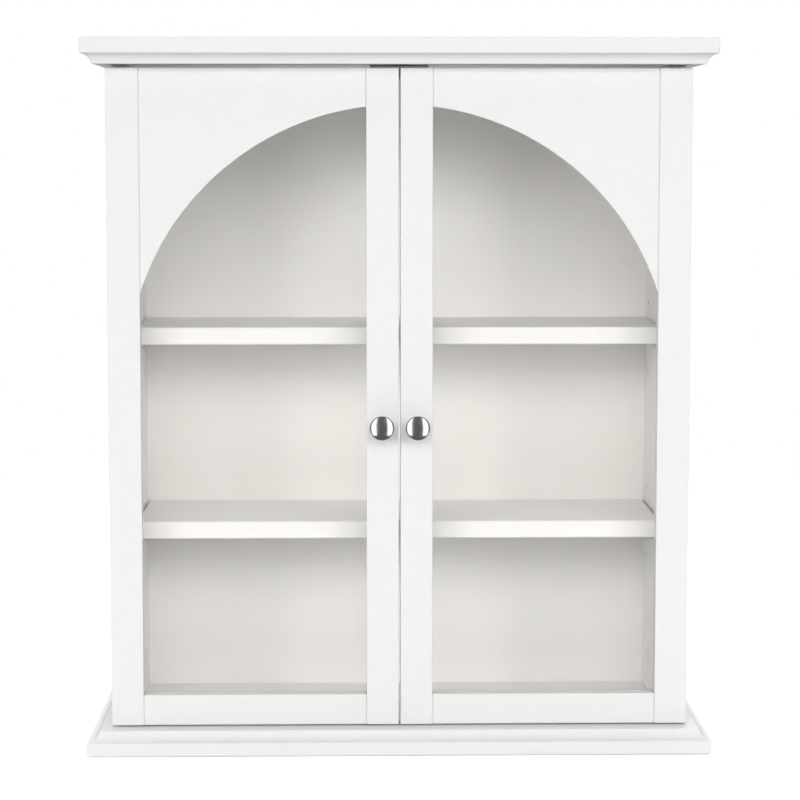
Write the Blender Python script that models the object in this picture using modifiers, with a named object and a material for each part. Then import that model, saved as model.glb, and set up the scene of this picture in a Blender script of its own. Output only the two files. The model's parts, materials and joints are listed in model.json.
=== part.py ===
"""A white wall cabinet with a moulded top and base and two arched glass doors.

Every piece is a separate object at its real size, in metres. +Z is up, the front faces -Y,
left is -X as seen from the front, and the origin is the middle of the underside.
"""

import math

import bmesh
import bpy
from mathutils import Euler, Vector

# Overall size, measured over the moulded boards.
OVERALL_WIDTH = 0.534
OVERALL_DEPTH = 0.203
OVERALL_HEIGHT = 0.610

# Moulded top and base boards: a square band, a ledge and a cove, on the front and both sides.
TOP_THICKNESS = 0.022
TOP_BAND = 0.0135
BASE_THICKNESS = 0.0205
BASE_BAND = 0.0123
MOULDING_LEDGE = 0.0024
LEDGE_SLOPE = 0.0004
COVE_WIDTH = 0.0070
COVE_RADIUS = 0.0105
BAND_ROUND = 0.0018
BOARD_ARRIS = 0.0005
CORNER_ROUND = 0.0012

# Carcass between the two boards.
CARCASS_SIDE_SETBACK = 0.022
SIDE_THICKNESS = 0.015
BACK_THICKNESS = 0.003
BACK_RECESS = 0.0105
GROOVE_DEPTH = 0.006
GROOVE_END_ROOM = 0.001
HANGING_RAIL_HEIGHT = 0.060
PANEL_ARRIS = 0.0004
DOWEL_RADIUS = 0.004
DOWEL_IN_BOARD = 0.012
DOWEL_IN_SIDE = 0.018
DOWEL_BACK_OF_FRONT = 0.080

# Shelves on pins, with spare holes above and below each pin.
SHELF_THICKNESS = 0.015
SHELF_ARRIS = 0.0008
SHELF_FRONT_SETBACK = 0.021
SHELF_END_ROOM = 0.0016
SHELF_BACK_ROOM = 0.001
LOWER_CLEAR_HEIGHT = 0.1575
MIDDLE_CLEAR_HEIGHT = 0.155
SHELF_PIN_RADIUS = 0.0025
SHELF_PIN_IN_SIDE = 0.010
SHELF_PIN_NIB = 0.007
SHELF_PIN_COLLAR_RADIUS = 0.0036
SHELF_PIN_COLLAR = 0.001
SHELF_PIN_TIP_EASE = 0.0005
SHELF_PIN_FROM_EDGE = 0.022
PIN_HOLE_PITCH = 0.032
PIN_HOLE_SPARES = 1

# Doors.
DOOR_FRONT_SETBACK = 0.024
DOOR_THICKNESS = 0.016
DOOR_SIDE_OVERLAP = 0.003
DOOR_CENTRE_GAP = 0.0015
DOOR_TOP_GAP = 0.0028
DOOR_BOTTOM_GAP = 0.0013
STILE_WIDTH = 0.0275
STILE_ARRIS = 0.0006
BOTTOM_RAIL_HEIGHT = 0.0265
RAIL_SETBACK = 0.0007
ARCH_TOP_MARGIN = 0.0307
ARCH_RISE = 0.160
REBATE_WIDTH = 0.007
FRONT_SKIN = 0.0075
TENON_LENGTH = 0.010
TENON_THICKNESS = 0.006
TENON_SHOULDER = 0.004
GLASS_THICKNESS = 0.003
GLASS_ROOM = 0.0006
GLASS_ARRIS = 0.0002
BEAD_WIDTH = 0.0062

# Butt hinges between the doors and the side panels.
HINGE_GAP = 0.0025
HINGE_HEIGHT = 0.050
HINGE_FROM_DOOR_END = 0.075
HINGE_LEAF_REACH = 0.014
HINGE_LEAF_THICKNESS = 0.0008
KNUCKLE_RADIUS = 0.0022
HINGE_PIN_RADIUS = 0.0008
HINGE_PIN_HEAD_RADIUS = 0.0016
HINGE_PIN_HEAD = 0.001
HINGE_PIN_HEAD_FLAT_RADIUS = 0.001
HINGE_SCREW_HOLE_RADIUS = 0.0016
HINGE_SCREW_SPACING = 0.032
HINGE_NOTCH_ROOM = 0.001

# Knobs and the screws that hold them.
KNOB_RADIUS = 0.0105
KNOB_PROJECTION = 0.0222
KNOB_CAP_RADIUS = 0.026
KNOB_RIM_ROUND = 0.0017
KNOB_HEAD_DEPTH = 0.0095
KNOB_NECK_RADIUS = 0.0042
KNOB_FOOT_RADIUS = 0.0056
KNOB_FOOT_HEIGHT = 0.0012
KNOB_ABOVE_DOOR_BOTTOM = 0.2597
KNOB_FROM_DOOR_EDGE = 0.01445
KNOB_SCREW_RADIUS = 0.002
KNOB_SCREW_IN_KNOB = 0.009
KNOB_SCREW_HEAD_RADIUS = 0.004
KNOB_SCREW_HEAD = 0.0022
KNOB_SCREW_HEAD_FLAT_RADIUS = 0.0028

# Magnetic catch under the top board and a strike plate on each door.
CATCH_WIDTH = 0.050
CATCH_DEPTH = 0.022
CATCH_HEIGHT = 0.012
MAGNET_WIDTH = 0.016
MAGNET_HEIGHT = 0.006
MAGNET_RECESS = 0.0008
MAGNET_FROM_MIDDLE = 0.0135
STRIKE_WIDTH = 0.016
STRIKE_HEIGHT = 0.018
STRIKE_THICKNESS = 0.001
STRIKE_BELOW_DOOR_TOP = 0.0015
STRIKE_ARRIS = 0.00015

# Keyhole hanger plates let into the hanging rail.
HANGER_WIDTH = 0.060
HANGER_HEIGHT = 0.022
HANGER_THICKNESS = 0.0015
HANGER_FROM_SIDE = 0.045
KEYHOLE_RADIUS = 0.0048
KEYHOLE_SLOT = 0.0048
KEYHOLE_RISE = 0.010
KEYHOLE_DROP = 0.004
HANGER_HOLE_RADIUS = 0.002
HANGER_HOLE_FROM_MIDDLE = 0.023
HANGER_POCKET_WIDTH = 0.016
HANGER_POCKET_DEPTH = 0.007

# Gap kept between pieces that touch, and how far a cutter runs past a face.
TOUCH = 0.0003
PAST = 0.002

# How finely round shapes are drawn, and which edges are eased or shaded sharp.
COVE_STEPS = 7
ROUND_STEPS = 3
CAP_STEPS = 5
RIM_STEPS = 4
KNOB_SIDES = 24
ARCH_SIDES = 144
HOLE_SIDES = 16
SMALL_SIDES = 12
EASE_OVER_DEGREES = 40
SMOOTH_UNDER_DEGREES = 35

# Planes worked out from the sizes above.
FRONT_Y = -OVERALL_DEPTH / 2
BACK_Y = OVERALL_DEPTH / 2
HALF_WIDTH = OVERALL_WIDTH / 2
FLOOR_Z = BASE_THICKNESS
CEILING_Z = OVERALL_HEIGHT - TOP_THICKNESS
SIDE_OUTER_X = HALF_WIDTH - CARCASS_SIDE_SETBACK
SIDE_INNER_X = SIDE_OUTER_X - SIDE_THICKNESS
DOOR_FRONT_Y = FRONT_Y + DOOR_FRONT_SETBACK
DOOR_BACK_Y = DOOR_FRONT_Y + DOOR_THICKNESS
CARCASS_FRONT_Y = DOOR_BACK_Y + HINGE_GAP
BACK_PANEL_Y = BACK_Y - BACK_RECESS - BACK_THICKNESS
SHELF_FRONT_Y = CARCASS_FRONT_Y + SHELF_FRONT_SETBACK
SHELF_BACK_Y = BACK_PANEL_Y - SHELF_BACK_ROOM
SHELF_UNDERSIDES = {
    "lower": FLOOR_Z + LOWER_CLEAR_HEIGHT,
    "upper": FLOOR_Z + LOWER_CLEAR_HEIGHT + SHELF_THICKNESS + MIDDLE_CLEAR_HEIGHT,
}
PIN_ROWS_Y = {
    "front": SHELF_FRONT_Y + SHELF_PIN_FROM_EDGE,
    "back": SHELF_BACK_Y - SHELF_PIN_FROM_EDGE,
}
PIN_DROP = SHELF_PIN_RADIUS + TOUCH
DOWEL_X = SIDE_OUTER_X - SIDE_THICKNESS / 2
DOWEL_Y = CARCASS_FRONT_Y + DOWEL_BACK_OF_FRONT

DOOR_LOW_Z = FLOOR_Z + DOOR_BOTTOM_GAP
DOOR_HIGH_Z = CEILING_Z - DOOR_TOP_GAP
DOOR_OUTER_X = SIDE_OUTER_X + DOOR_SIDE_OVERLAP
DOOR_INNER_X = DOOR_CENTRE_GAP / 2
OPENING_OUTER_X = DOOR_OUTER_X - STILE_WIDTH
OPENING_INNER_X = DOOR_INNER_X + STILE_WIDTH
OPENING_LOW_Z = DOOR_LOW_Z + BOTTOM_RAIL_HEIGHT
ARCH_TOP_Z = DOOR_HIGH_Z - ARCH_TOP_MARGIN
ARCH_RADIUS = (OPENING_OUTER_X**2 + ARCH_RISE**2) / (2 * ARCH_RISE)
ARCH_CENTRE_Z = ARCH_TOP_Z - ARCH_RADIUS
REBATE_LOW_Z = OPENING_LOW_Z - REBATE_WIDTH
REBATE_HIGH_Z = ARCH_TOP_Z + REBATE_WIDTH
REBATE_Y = DOOR_FRONT_Y + FRONT_SKIN
RAIL_FRONT_Y = DOOR_FRONT_Y + RAIL_SETBACK

KNUCKLE_ROOM = KNUCKLE_RADIUS + TOUCH
HINGE_AXIS_X = DOOR_OUTER_X - KNUCKLE_ROOM
HINGE_AXIS_Y = DOOR_BACK_Y + HINGE_GAP / 2
HINGE_CENTRES_Z = {
    "lower": DOOR_LOW_Z + HINGE_FROM_DOOR_END,
    "upper": DOOR_HIGH_Z - HINGE_FROM_DOOR_END,
}
MIDDLE_KNUCKLE = HINGE_HEIGHT / 3
HANGER_Z = CEILING_Z - HANGING_RAIL_HEIGHT / 2
HANGER_X = SIDE_INNER_X - HANGER_FROM_SIDE

SIDES = {"left": -1, "right": 1}

# Finishes: base colour, roughness, metallic, transmission.
PAINT = ((0.86, 0.86, 0.855), 0.38, 0.0, 0.0)
INNER_PAINT = ((0.84, 0.84, 0.83), 0.45, 0.0, 0.0)
BACKING = ((0.82, 0.82, 0.81), 0.55, 0.0, 0.0)
BEECH = ((0.55, 0.40, 0.25), 0.6, 0.0, 0.0)
GLASS = ((0.93, 0.97, 0.95), 0.02, 0.0, 0.9)
SATIN_NICKEL = ((0.62, 0.60, 0.57), 0.22, 1.0, 0.0)
ZINC = ((0.68, 0.69, 0.70), 0.35, 1.0, 0.0)
PLASTIC = ((0.80, 0.80, 0.79), 0.4, 0.0, 0.0)


def clear_scene():
    for old in list(bpy.data.objects):
        bpy.data.objects.remove(old, do_unlink=True)


def new_collection(name):
    collection = bpy.data.collections.new(name)
    bpy.context.scene.collection.children.link(collection)
    return collection


clear_scene()
CABINET = new_collection("arched_wall_cabinet")
CUTTERS = new_collection("cutters")


# Placing and finishing


def finish(piece, look):
    """Gives the piece a material of its own."""
    colour, roughness, metallic, transmission = look
    material = bpy.data.materials.new(piece.name + "_finish")
    material.use_nodes = True
    shader = material.node_tree.nodes["Principled BSDF"]
    shader.inputs["Base Color"].default_value = (*colour, 1.0)
    shader.inputs["Roughness"].default_value = roughness
    shader.inputs["Metallic"].default_value = metallic
    shader.inputs["Transmission Weight"].default_value = transmission
    material.diffuse_color = (*colour, 1.0)
    piece.data.materials.append(material)


def place(thing, where, parent):
    """Puts a thing at a point of the cabinet's frame, under its parent."""
    thing.parent = parent
    thing.location = Vector(where) - (parent.location if parent else Vector())


def add_piece(name, mesh, where, look, parent=None):
    piece = bpy.data.objects.new(name, mesh)
    CABINET.objects.link(piece)
    place(piece, where, parent)
    finish(piece, look)
    return piece


def add_cutter(name, mesh, where, parent=None):
    cutter = bpy.data.objects.new(name, mesh)
    CUTTERS.objects.link(cutter)
    cutter.hide_render = True
    cutter.display_type = "WIRE"
    place(cutter, where, parent)
    return cutter


def add_hinge_axis(side):
    """An empty on the door's hinge axis: all of the door hangs from it."""
    axis = bpy.data.objects.new(side + "_door_axis", None)
    CABINET.objects.link(axis)
    axis.location = (SIDES[side] * HINGE_AXIS_X, HINGE_AXIS_Y, 0.0)
    return axis


# Shapes


def mesh_from(shape, name):
    mesh = bpy.data.meshes.new(name)
    shape.to_mesh(mesh)
    shape.free()
    return mesh


def box_mesh(name, size):
    shape = bmesh.new()
    bmesh.ops.create_cube(shape, size=1.0)
    bmesh.ops.scale(shape, vec=size, verts=shape.verts)
    return mesh_from(shape, name)


def middle_and_size(corner, opposite):
    corner = Vector(corner)
    opposite = Vector(opposite)
    size = opposite - corner
    return (corner + opposite) / 2, Vector(abs(length) for length in size)


def add_box(name, corner, opposite, look, parent=None, arris=0.0):
    """A box between two opposite corners, with its edges eased by arris."""
    middle, size = middle_and_size(corner, opposite)
    piece = add_piece(name, box_mesh(name, size), middle, look, parent)
    if arris:
        ease(piece, arris)
    return piece


def ease(piece, width, segments=1):
    bevel = piece.modifiers.new("eased edges", "BEVEL")
    bevel.width = width
    bevel.segments = segments
    bevel.limit_method = "ANGLE"
    bevel.angle_limit = math.radians(EASE_OVER_DEGREES)
    return bevel


def cutter_box(name, corner, opposite, parent=None):
    middle, size = middle_and_size(corner, opposite)
    return add_cutter(name, box_mesh(name, size), middle, parent)


def rods_mesh(name, rods, radius, sides):
    """Equal round rods, each given by its two ends, as one mesh."""
    shape = bmesh.new()
    for start, end in rods:
        start = Vector(start)
        along = Vector(end) - start
        turn = along.to_track_quat("Z", "Y").to_matrix().to_4x4()
        turn.translation = start + along / 2
        bmesh.ops.create_cone(
            shape,
            cap_ends=True,
            segments=sides,
            radius1=radius,
            radius2=radius,
            depth=along.length,
            matrix=turn,
        )
    return mesh_from(shape, name)


def cutter_rods(name, rods, radius, sides=HOLE_SIDES, parent=None):
    origin = parent.location if parent else Vector()
    moved = [(Vector(start) - origin, Vector(end) - origin) for start, end in rods]
    return add_cutter(name, rods_mesh(name, moved, radius, sides), origin, parent)


def combine(piece, tool, operation):
    modifier = piece.modifiers.new(operation.lower() + " " + tool.name, "BOOLEAN")
    modifier.operation = operation
    modifier.solver = "EXACT"
    modifier.object = tool


def cut(piece, *tools):
    for tool in tools:
        combine(piece, tool, "DIFFERENCE")


def join(piece, *tools):
    for tool in tools:
        combine(piece, tool, "UNION")


def smooth(mesh):
    mesh.shade_smooth()
    mesh.set_sharp_from_angle(angle=math.radians(SMOOTH_UNDER_DEGREES))


def add_turned(name, profile, steps, where, turn, look, parent=None):
    """A turned piece. Its profile, in (radius, height), runs from the top of the axis down its outside."""
    shape = bmesh.new()
    corners = [shape.verts.new((radius, 0.0, height)) for radius, height in profile]
    for first, second in zip(corners, corners[1:]):
        shape.edges.new((first, second))
    mesh = mesh_from(shape, name)
    piece = add_piece(name, mesh, where, look, parent)
    piece.rotation_euler = Euler([math.radians(degrees) for degrees in turn])
    screw = piece.modifiers.new("turned", "SCREW")
    screw.steps = steps
    screw.render_steps = steps
    screw.use_merge_vertices = True
    screw.merge_threshold = 0.00001
    screw.use_smooth_shade = True
    return piece


def arc(centre, radii, start, end, steps):
    """Points on an ellipse's arc from one angle to another, in degrees."""
    points = []
    for step in range(steps + 1):
        angle = math.radians(start + (end - start) * step / steps)
        across = centre[0] + radii[0] * math.cos(angle)
        points.append((across, centre[1] + radii[1] * math.sin(angle)))
    return points


# Moulded top and base boards


def moulding_levels(thickness, band):
    """(height, inset) pairs from the narrow face of a moulded board to its wide face."""
    rise = thickness - band - LEDGE_SLOPE - BOARD_ARRIS
    chord = math.hypot(COVE_WIDTH, rise)
    from_chord = math.sqrt(COVE_RADIUS**2 - (chord / 2) ** 2)
    centre_inset = MOULDING_LEDGE + COVE_WIDTH / 2 - from_chord * rise / chord
    centre_height = rise / 2 - from_chord * COVE_WIDTH / chord
    low = math.atan2(-centre_height, MOULDING_LEDGE + COVE_WIDTH - centre_inset)
    high = math.atan2(rise - centre_height, MOULDING_LEDGE - centre_inset)
    cove = arc(
        (centre_height + BOARD_ARRIS, centre_inset),
        (COVE_RADIUS, COVE_RADIUS),
        90 - math.degrees(low),
        90 - math.degrees(high),
        COVE_STEPS,
    )
    ledge_top = thickness - band
    round_centre = (thickness - BAND_ROUND, BAND_ROUND)
    rounded = arc(round_centre, (BAND_ROUND, BAND_ROUND), -90, 0, ROUND_STEPS)
    first = (0.0, MOULDING_LEDGE + COVE_WIDTH + BOARD_ARRIS)
    return [first, *cove, (ledge_top, BOARD_ARRIS), (ledge_top + BOARD_ARRIS, 0.0), *rounded]


def moulded_mesh(name, levels):
    """A board drawn up through its levels, each inset on the front and both sides."""
    shape = bmesh.new()
    bmesh.ops.create_cube(shape, size=1.0)
    bottom = min(shape.faces, key=lambda face: face.calc_center_median().z)
    top = max(shape.faces, key=lambda face: face.calc_center_median().z)
    fit_level(bottom.verts, *levels[0])
    fit_level(top.verts, *levels[1])
    for height, inset in levels[2:]:
        drawn = bmesh.ops.extrude_face_region(shape, geom=[top])
        bmesh.ops.delete(shape, geom=[top], context="FACES_ONLY")
        top = next(item for item in drawn["geom"] if isinstance(item, bmesh.types.BMFace))
        fit_level(top.verts, height, inset)
    weights = shape.edges.layers.float.new("bevel_weight_edge")
    for edge in shape.edges:
        ends = [corner.co for corner in edge.verts]
        if max(end.y for end in ends) < 0 and ends[0].x * ends[1].x > 0:
            edge[weights] = 1.0
    bmesh.ops.recalc_face_normals(shape, faces=shape.faces)
    return mesh_from(shape, name)


def fit_level(corners, height, inset):
    for corner in corners:
        corner.co.x = math.copysign(HALF_WIDTH - inset, corner.co.x)
        corner.co.y = BACK_Y if corner.co.y > 0 else FRONT_Y + inset
        corner.co.z = height


def add_moulded_board(name, levels, inner_z, into):
    """A moulded board with the back panel's groove and the dowel holes in its inner face.

    into is the way from the inner face into the board: 1 is up and -1 is down.
    """
    board = add_piece(name, moulded_mesh(name, levels), (0.0, 0.0, 0.0), PAINT)
    corners = ease(board, CORNER_ROUND, 2)
    corners.limit_method = "WEIGHT"
    groove_end = SIDE_INNER_X + GROOVE_DEPTH
    groove = cutter_box(
        name + "_groove",
        (-groove_end, BACK_PANEL_Y - TOUCH, inner_z - into * PAST),
        (groove_end, BACK_PANEL_Y + BACK_THICKNESS + TOUCH, inner_z + into * GROOVE_DEPTH),
    )
    hole_start = inner_z - into * PAST
    hole_end = inner_z + into * (DOWEL_IN_BOARD + TOUCH)
    rods = []
    for sign in SIDES.values():
        rods.append(((sign * DOWEL_X, DOWEL_Y, hole_start), (sign * DOWEL_X, DOWEL_Y, hole_end)))
    holes = cutter_rods(name + "_dowel_holes", rods, DOWEL_RADIUS + TOUCH)
    cut(board, groove, holes)
    return board


def add_boards():
    top = moulding_levels(TOP_THICKNESS, TOP_BAND)
    add_moulded_board("top_board", [(CEILING_Z + height, inset) for height, inset in top], CEILING_Z, 1)
    base = moulding_levels(BASE_THICKNESS, BASE_BAND)[::-1]
    add_moulded_board("base_board", [(FLOOR_Z - height, inset) for height, inset in base], FLOOR_Z, -1)


# Carcass


def pin_hole_heights():
    """Every height with a shelf pin hole: the pin's own, and spares above and below it."""
    heights = []
    for underside in SHELF_UNDERSIDES.values():
        for spare in range(-PIN_HOLE_SPARES, PIN_HOLE_SPARES + 1):
            heights.append(underside - PIN_DROP + spare * PIN_HOLE_PITCH)
    return heights


def add_side_panel(side):
    sign = SIDES[side]
    name = side + "_side_panel"
    panel = add_box(
        name,
        (sign * SIDE_OUTER_X, CARCASS_FRONT_Y, FLOOR_Z + TOUCH),
        (sign * SIDE_INNER_X, BACK_Y, CEILING_Z - TOUCH),
        PAINT,
        arris=PANEL_ARRIS,
    )
    groove = cutter_box(
        name + "_groove",
        (sign * (SIDE_INNER_X - PAST), BACK_PANEL_Y - TOUCH, FLOOR_Z - PAST),
        (sign * (SIDE_INNER_X + GROOVE_DEPTH), BACK_PANEL_Y + BACK_THICKNESS + TOUCH, CEILING_Z + PAST),
    )
    pin_holes = [
        (
            (sign * (SIDE_INNER_X - PAST), row_y, height),
            (sign * (SIDE_INNER_X + SHELF_PIN_IN_SIDE + TOUCH), row_y, height),
        )
        for row_y in PIN_ROWS_Y.values()
        for height in pin_hole_heights()
    ]
    dowel_holes = [
        (
            (sign * DOWEL_X, DOWEL_Y, end_z + out * PAST),
            (sign * DOWEL_X, DOWEL_Y, end_z - out * (DOWEL_IN_SIDE + TOUCH)),
        )
        for end_z, out in ((FLOOR_Z, -1), (CEILING_Z, 1))
    ]
    cut(
        panel,
        groove,
        cutter_rods(name + "_pin_holes", pin_holes, SHELF_PIN_RADIUS + TOUCH, SMALL_SIDES),
        cutter_rods(name + "_dowel_holes", dowel_holes, DOWEL_RADIUS + TOUCH),
    )
    for place_name, centre_z in HINGE_CENTRES_Z.items():
        half = hinge_notch_half_height()
        notch = cutter_box(
            f"{name}_{place_name}_notch",
            (sign * (HINGE_AXIS_X - KNUCKLE_ROOM), CARCASS_FRONT_Y - PAST, centre_z - half),
            (sign * (SIDE_OUTER_X + PAST), HINGE_AXIS_Y + KNUCKLE_ROOM, centre_z + half),
        )
        cut(panel, notch)


def add_dowels(side):
    """Two glued dowels that hold a side panel to the base board and the top board."""
    sign = SIDES[side]
    for end, inner_z, into in (("lower", FLOOR_Z, -1), ("upper", CEILING_Z, 1)):
        in_board = inner_z + into * DOWEL_IN_BOARD
        in_side = inner_z - into * DOWEL_IN_SIDE
        half = (DOWEL_IN_BOARD + DOWEL_IN_SIDE) / 2
        profile = [
            (0.0, half),
            (DOWEL_RADIUS - BOARD_ARRIS, half),
            (DOWEL_RADIUS, half - BOARD_ARRIS),
            (DOWEL_RADIUS, -half + BOARD_ARRIS),
            (DOWEL_RADIUS - BOARD_ARRIS, -half),
            (0.0, -half),
        ]
        middle = (sign * DOWEL_X, DOWEL_Y, (in_board + in_side) / 2)
        add_turned(f"{side}_{end}_dowel", profile, SMALL_SIDES, middle, (0, 0, 0), BEECH)


def add_back():
    tongue = SIDE_INNER_X + GROOVE_DEPTH - GROOVE_END_ROOM
    rise = GROOVE_DEPTH - GROOVE_END_ROOM
    add_box(
        "back_panel",
        (-tongue, BACK_PANEL_Y, FLOOR_Z - rise),
        (tongue, BACK_PANEL_Y + BACK_THICKNESS, CEILING_Z + rise),
        BACKING,
    )


def add_hanging_rail():
    rail = add_box(
        "hanging_rail",
        (-SIDE_INNER_X + TOUCH, BACK_PANEL_Y + BACK_THICKNESS + TOUCH, CEILING_Z - HANGING_RAIL_HEIGHT),
        (SIDE_INNER_X - TOUCH, BACK_Y, CEILING_Z - TOUCH),
        INNER_PAINT,
        arris=PANEL_ARRIS,
    )
    for side, sign in SIDES.items():
        middle_x = sign * HANGER_X
        half = HANGER_WIDTH / 2 + TOUCH
        half_height = HANGER_HEIGHT / 2 + TOUCH
        seat_y = BACK_Y - HANGER_THICKNESS - TOUCH
        seat = cutter_box(
            side + "_hanger_seat",
            (middle_x - half, seat_y, HANGER_Z - half_height),
            (middle_x + half, BACK_Y + PAST, HANGER_Z + half_height),
        )
        half_pocket = HANGER_POCKET_WIDTH / 2
        pocket_height = half_height - PANEL_ARRIS
        pocket = cutter_box(
            side + "_hanger_pocket",
            (middle_x - half_pocket, seat_y - HANGER_POCKET_DEPTH, HANGER_Z - pocket_height),
            (middle_x + half_pocket, seat_y + HANGER_THICKNESS, HANGER_Z + pocket_height),
        )
        cut(rail, seat, pocket)


def add_hanger_plate(side):
    """A steel plate with a keyhole: the wall screw's head goes in below and the plate drops onto it."""
    name = side + "_hanger_plate"
    middle_x = SIDES[side] * HANGER_X
    front_y = BACK_Y - HANGER_THICKNESS
    plate = add_box(
        name,
        (middle_x - HANGER_WIDTH / 2, front_y, HANGER_Z - HANGER_HEIGHT / 2),
        (middle_x + HANGER_WIDTH / 2, BACK_Y, HANGER_Z + HANGER_HEIGHT / 2),
        ZINC,
    )
    hole_z = HANGER_Z - KEYHOLE_DROP
    past = (front_y - PAST, BACK_Y + PAST)
    round_hole = cutter_rods(
        name + "_keyhole",
        [((middle_x, past[0], hole_z), (middle_x, past[1], hole_z))],
        KEYHOLE_RADIUS,
    )
    slot = cutter_box(
        name + "_slot",
        (middle_x - KEYHOLE_SLOT / 2, past[0], hole_z),
        (middle_x + KEYHOLE_SLOT / 2, past[1], hole_z + KEYHOLE_RISE),
    )
    screw_holes = cutter_rods(
        name + "_screw_holes",
        [
            (
                (middle_x + out * HANGER_HOLE_FROM_MIDDLE, past[0], HANGER_Z),
                (middle_x + out * HANGER_HOLE_FROM_MIDDLE, past[1], HANGER_Z),
            )
            for out in (-1, 1)
        ],
        HANGER_HOLE_RADIUS,
        SMALL_SIDES,
    )
    cut(plate, round_hole, slot, screw_holes)


# Shelves


def add_shelf(level):
    underside = SHELF_UNDERSIDES[level]
    reach = SIDE_INNER_X - SHELF_END_ROOM
    add_box(
        level + "_shelf",
        (-reach, SHELF_FRONT_Y, underside),
        (reach, SHELF_BACK_Y, underside + SHELF_THICKNESS),
        INNER_PAINT,
        arris=SHELF_ARRIS,
    )


def shelf_pin_profile():
    """The pin stands on its end in the side panel: height 0 is the panel's inner face."""
    collar_top = TOUCH + SHELF_PIN_COLLAR
    return [
        (0.0, SHELF_PIN_NIB),
        (SHELF_PIN_RADIUS - SHELF_PIN_TIP_EASE, SHELF_PIN_NIB),
        (SHELF_PIN_RADIUS, SHELF_PIN_NIB - SHELF_PIN_TIP_EASE),
        (SHELF_PIN_RADIUS, collar_top),
        (SHELF_PIN_COLLAR_RADIUS, collar_top),
        (SHELF_PIN_COLLAR_RADIUS, TOUCH),
        (SHELF_PIN_RADIUS, TOUCH),
        (SHELF_PIN_RADIUS, -SHELF_PIN_IN_SIDE),
        (0.0, -SHELF_PIN_IN_SIDE),
    ]


def add_shelf_pins(level):
    pin_z = SHELF_UNDERSIDES[level] - PIN_DROP
    for side, sign in SIDES.items():
        for row, row_y in PIN_ROWS_Y.items():
            where = (sign * SIDE_INNER_X, row_y, pin_z)
            name = f"{level}_shelf_pin_{side}_{row}"
            add_turned(name, shelf_pin_profile(), SMALL_SIDES, where, (0, -90 * sign, 0), ZINC)


# Catch


def add_catch():
    front_y = DOOR_BACK_Y + TOUCH + STRIKE_THICKNESS + TOUCH
    high_z = CEILING_Z - TOUCH
    catch = add_box(
        "magnetic_catch",
        (-CATCH_WIDTH / 2, front_y, high_z - CATCH_HEIGHT),
        (CATCH_WIDTH / 2, front_y + CATCH_DEPTH, high_z),
        PLASTIC,
    )
    ease(catch, BOARD_ARRIS, 2)
    middle_z = high_z - CATCH_HEIGHT / 2
    for side, sign in SIDES.items():
        middle_x = sign * MAGNET_FROM_MIDDLE
        recess = cutter_box(
            side + "_magnet_recess",
            (middle_x - MAGNET_WIDTH / 2, front_y - PAST, middle_z - MAGNET_HEIGHT / 2),
            (middle_x + MAGNET_WIDTH / 2, front_y + MAGNET_RECESS, middle_z + MAGNET_HEIGHT / 2),
        )
        cut(catch, recess)


# Hinges


def hinge_notch_half_height():
    return HINGE_HEIGHT / 2 + HINGE_PIN_HEAD + HINGE_NOTCH_ROOM


def add_hinge_leaf(name, sign, centre_z, on_door, parent):
    """A leaf with its knuckles: the door's leaf has the middle knuckle, the carcass's the outer two."""
    towards = -1 if on_door else 1
    near_y = HINGE_AXIS_Y + towards * TOUCH / 2
    far_y = near_y + towards * HINGE_LEAF_THICKNESS
    half = HINGE_HEIGHT / 2
    split = MIDDLE_KNUCKLE / 2
    tip_x = HINGE_AXIS_X - (HINGE_PIN_RADIUS + KNUCKLE_RADIUS) / 2
    leaf = add_box(
        name,
        (sign * (HINGE_AXIS_X - HINGE_LEAF_REACH), near_y, centre_z - half),
        (sign * tip_x, far_y, centre_z + half),
        SATIN_NICKEL,
        parent,
    )
    outer_spans = [(-half, -split), (split, half)]
    middle_span = [(-split, split)]
    own = middle_span if on_door else outer_spans
    other = outer_spans if on_door else middle_span
    for number, (low, high) in enumerate(other):
        low_z = centre_z + (low - PAST if low == -half else low - TOUCH / 2)
        high_z = centre_z + (high + PAST if high == half else high + TOUCH / 2)
        relief = cutter_box(
            f"{name}_relief_{number}",
            (sign * (HINGE_AXIS_X - KNUCKLE_ROOM), HINGE_AXIS_Y - PAST, low_z),
            (sign * (HINGE_AXIS_X + PAST), HINGE_AXIS_Y + PAST, high_z),
            parent,
        )
        cut(leaf, relief)
    axis = (sign * HINGE_AXIS_X, HINGE_AXIS_Y)
    knuckles = []
    for low, high in own:
        low_z = centre_z + (low if low == -half else low + TOUCH / 2)
        high_z = centre_z + (high if high == half else high - TOUCH / 2)
        knuckles.append(((*axis, low_z), (*axis, high_z)))
    join(leaf, cutter_rods(name + "_knuckles", knuckles, KNUCKLE_RADIUS, HOLE_SIDES, parent))
    bore = [((*axis, centre_z - half - PAST), (*axis, centre_z + half + PAST))]
    cut(leaf, cutter_rods(name + "_bore", bore, HINGE_PIN_RADIUS + TOUCH, SMALL_SIDES, parent))
    screw_x = sign * (HINGE_AXIS_X - (HINGE_LEAF_REACH + KNUCKLE_ROOM) / 2)
    screws = [
        (
            (screw_x, HINGE_AXIS_Y - PAST, centre_z + out * HINGE_SCREW_SPACING / 2),
            (screw_x, HINGE_AXIS_Y + PAST, centre_z + out * HINGE_SCREW_SPACING / 2),
        )
        for out in (-1, 1)
    ]
    cut(leaf, cutter_rods(name + "_screw_holes", screws, HINGE_SCREW_HOLE_RADIUS, SMALL_SIDES, parent))


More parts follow.
